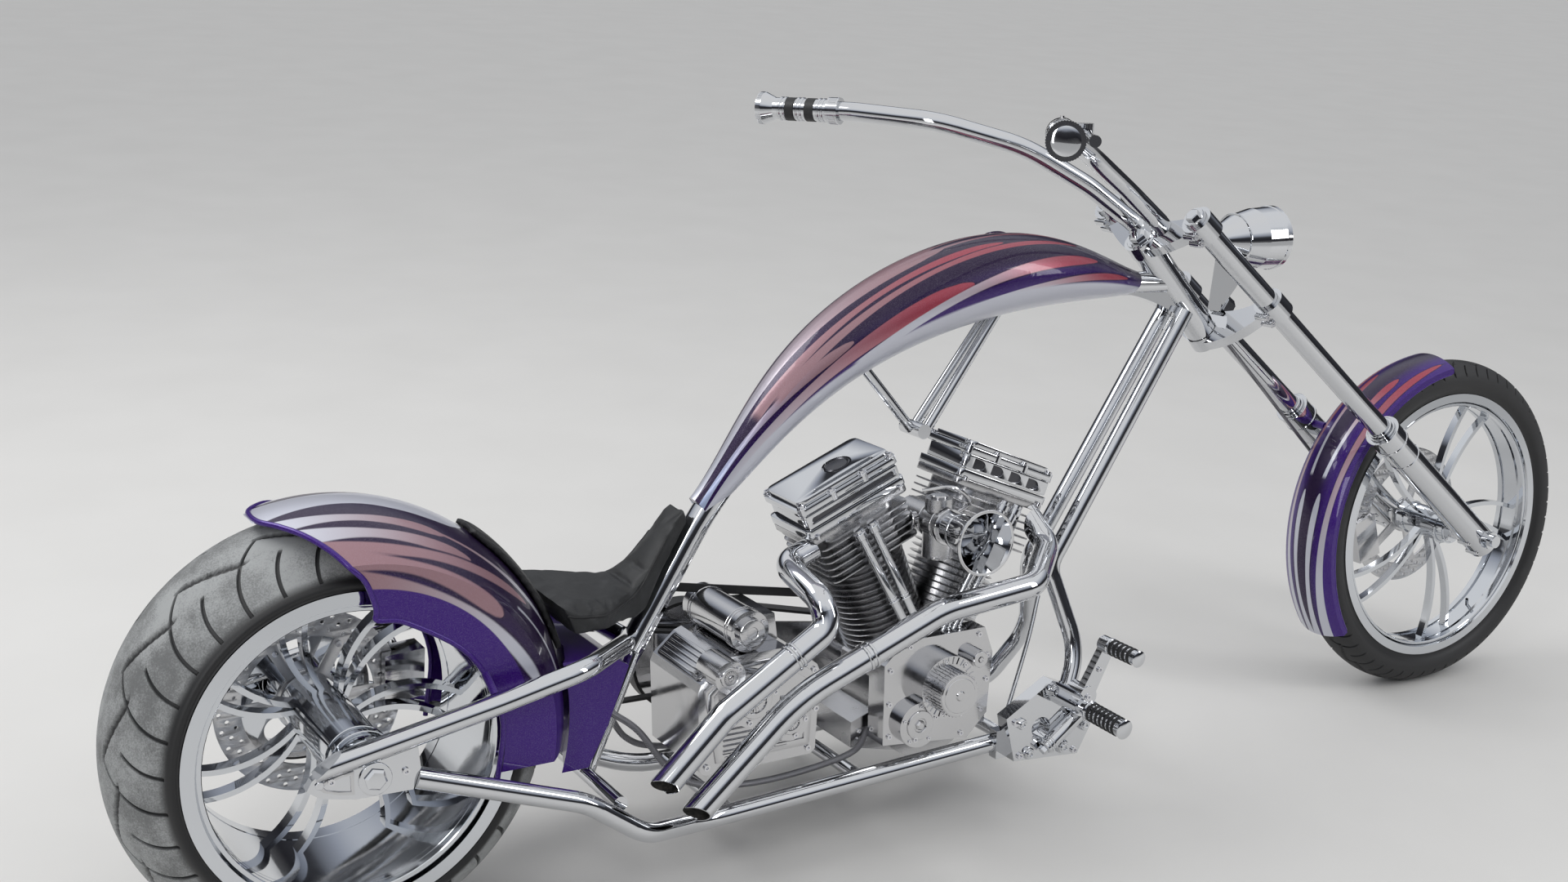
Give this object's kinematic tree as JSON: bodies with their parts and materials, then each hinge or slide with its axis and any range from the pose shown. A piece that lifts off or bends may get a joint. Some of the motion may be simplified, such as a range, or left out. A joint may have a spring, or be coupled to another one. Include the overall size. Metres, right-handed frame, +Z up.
{
  "type": "chopper motorcycle",
  "caption": "Long low chopper with a raked fork, wide rear tyre, arched backbone tank and open V-twin engine, leaning on its side stand.",
  "frame": {"origin": "on the ground, below the middle of the machine's overall length and width, as it leans on its stand", "axes": "+X forwards along the machine, +Y to the rider's left, +Z up from the ground"},
  "size_m": [3.0199, 0.9319, 1.271],
  "materials": {
    "chrome": "mirror chrome plate",
    "flame_paint": "candy purple with silver and rose flames under clear coat",
    "polished_alloy": "polished cast alloy",
    "black_leather": "smooth black leather",
    "belt_rubber": "black reinforced belt",
    "tyre": "worn matt rubber"
  },
  "bodies": {
    "chassis": {"frame_backbone": "chrome", "head_bearings": "chrome", "down_tubes": "chrome", "lower_rails": "chrome", "upper_rails": "chrome", "seat_posts": "chrome", "axle_plate_left": "chrome", "axle_plate_right": "chrome", "motor_struts": "chrome", "fuel_tank": "flame_paint", "seat": "black_leather", "tail_pad": "black_leather", "rear_fender": "flame_paint", "oil_tank": "flame_paint", "crankcase": "polished_alloy", "cam_cover": "chrome", "cylinder_rear": "polished_alloy", "cylinder_front": "polished_alloy", "rocker_box_rear": "chrome", "rocker_box_front": "chrome", "pushrod_tubes": "chrome", "carburettor": "chrome", "intake_trumpet": "chrome", "exhaust_rear": "chrome", "exhaust_front": "chrome", "transmission": "polished_alloy", "starter_motor": "chrome", "primary_drive": "chrome", "primary_belt": "belt_rubber", "final_belt": "belt_rubber", "rear_axle": "chrome", "rear_caliper": "chrome", "foot_control_left": "chrome", "foot_control_right": "chrome"},
    "steering": {"top_yoke": "chrome", "lower_yoke": "chrome", "fork_leg_left": "chrome", "fork_leg_right": "chrome", "handlebar_left": "chrome", "handlebar_right": "chrome", "grip_left": "chrome", "grip_right": "chrome", "brake_lever": "chrome", "headlight": "chrome", "front_fender": "flame_paint", "front_axle": "chrome", "front_caliper": "chrome", "brake_line": "belt_rubber"},
    "front_wheel": {"front_tyre": "tyre", "front_rim": "chrome", "front_disc": "chrome"},
    "rear_wheel": {"rear_tyre": "tyre", "rear_rim": "chrome", "rear_pulley": "chrome", "rear_disc": "chrome"},
    "side_stand": {"side_stand": "chrome"}
  },
  "joints": [
    {"name": "steering_turn", "type": "hinge", "parent": "chassis", "child": "steering", "pos_m": [0.4171, -0.03309, 0.88032], "axis": [-0.6691, 0.0777, 0.7391], "range_deg": [-28, 28]},
    {"name": "front_wheel_spin", "type": "hinge", "parent": "steering", "child": "front_wheel", "pos_m": [1.1645, -0.08942, 0.34439], "axis": [0, 0.9945, -0.1045], "continuous": true},
    {"name": "rear_wheel_spin", "type": "hinge", "parent": "chassis", "child": "rear_wheel", "pos_m": [-1.1805, -0.09104, 0.32896], "axis": [0, 0.9945, -0.1045], "continuous": true},
    {"name": "side_stand_fold", "type": "hinge", "parent": "chassis", "child": "side_stand", "pos_m": [-0.3205, 0.03954, 0.07894], "axis": [0.0774, 0.2881, 0.9545], "range_deg": [0, 111.1]}
  ]
}
